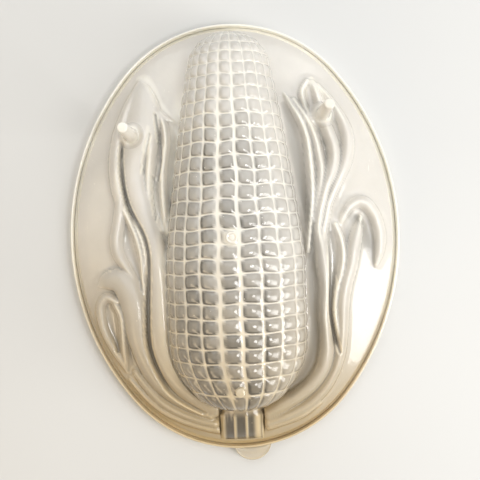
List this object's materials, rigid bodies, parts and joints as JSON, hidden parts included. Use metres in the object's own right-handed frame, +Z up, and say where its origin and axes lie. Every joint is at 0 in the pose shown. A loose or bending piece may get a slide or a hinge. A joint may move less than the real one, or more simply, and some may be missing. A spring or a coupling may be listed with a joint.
{
  "type": "jelly mould",
  "caption": "Oval hollow jelly mould with a corn cob and husk leaves in relief and moulded standing feet, closed by a flat lid with a pull tab.",
  "frame": {"origin": "middle of the oval on the lid's flat underside, where it rests on the table", "axes": "+Z up, +Y along the oval's long axis towards the tip of the cob, +X to the right as seen from above"},
  "size_m": [0.186, 0.247, 0.059],
  "materials": {
    "mould_plastic": "milky translucent plastic, soft gloss",
    "lid_plastic": "clear cloudy plastic, gloss"
  },
  "bodies": {
    "lid": {"lid": "lid_plastic"},
    "mould": {"mould": "mould_plastic"}
  },
  "joints": [
    {"name": "lift_off", "type": "slide", "parent": "lid", "child": "mould", "axis": [0, 0, 1], "range_m": [0, 0.06]}
  ]
}
